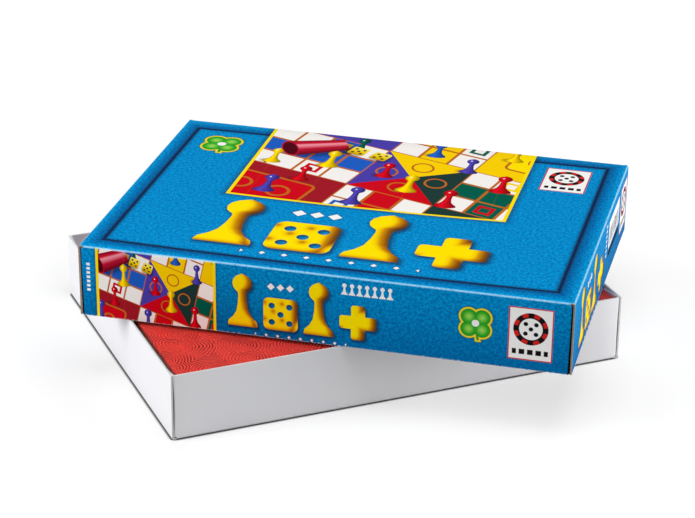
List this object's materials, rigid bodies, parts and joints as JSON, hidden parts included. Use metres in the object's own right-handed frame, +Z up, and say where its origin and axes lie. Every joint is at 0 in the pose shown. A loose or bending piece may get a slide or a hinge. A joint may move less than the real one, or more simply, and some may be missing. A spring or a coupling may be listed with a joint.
{
  "type": "boxed ludo game",
  "caption": "Shallow two-piece card game box: printed blue lid laid askew on a white tray that holds a folded red-backed board over a well of ludo pieces.",
  "frame": {"origin": "middle of the underside of the base tray, where the box rests on a table", "axes": "+X along the long side of the tray, +Y along its short side to the back, +Z up"},
  "size_m": [0.4208, 0.401, 0.1001],
  "materials": {
    "lid_card": "satin",
    "tray_card": "satin",
    "insert_card": "matte",
    "greyboard": "matte",
    "back_paper": "satin",
    "face_paper": "satin",
    "leaflet_paper": "matte",
    "pawn_red": "gloss",
    "pawn_blue": "gloss",
    "pawn_yellow": "gloss",
    "pawn_green": "gloss",
    "dice_yellow": "gloss",
    "cup_red": "satin"
  },
  "bodies": {
    "tray": {"base_tray": "tray_card"},
    "insert": {"insert": "insert_card", "rules_leaflet": "leaflet_paper"},
    "pieces": {"pawn_red_1": "pawn_red", "pawn_red_2": "pawn_red", "pawn_red_3": "pawn_red", "pawn_red_4": "pawn_red", "pawn_blue_1": "pawn_blue", "pawn_blue_2": "pawn_blue", "pawn_blue_3": "pawn_blue", "pawn_blue_4": "pawn_blue", "pawn_yellow_1": "pawn_yellow", "pawn_yellow_2": "pawn_yellow", "pawn_yellow_3": "pawn_yellow", "pawn_yellow_4": "pawn_yellow", "pawn_green_1": "pawn_green", "pawn_green_2": "pawn_green", "pawn_green_3": "pawn_green", "pawn_green_4": "pawn_green", "die_1": "dice_yellow", "die_2": "dice_yellow", "dice_cup": "cup_red"},
    "board": {"board_lower_leaf": "greyboard", "board_upper_leaf": "greyboard", "board_back_paper": "back_paper", "board_face_paper": "face_paper"},
    "lid": {"lid": "lid_card"}
  },
  "joints": [
    {"name": "insert_lift", "type": "slide", "parent": "tray", "child": "insert", "axis": [0, 0, 1], "range_m": [0, 0.07]},
    {"name": "pieces_lift", "type": "slide", "parent": "insert", "child": "pieces", "axis": [0, 0, 1], "range_m": [0, 0.06]},
    {"name": "board_lift", "type": "slide", "parent": "pieces", "child": "board", "axis": [0, 0, 1], "range_m": [0, 0.06]},
    {"name": "lid_lift", "type": "slide", "parent": "board", "child": "lid", "axis": [0, 0, 1], "range_m": [0, 0.12]}
  ]
}
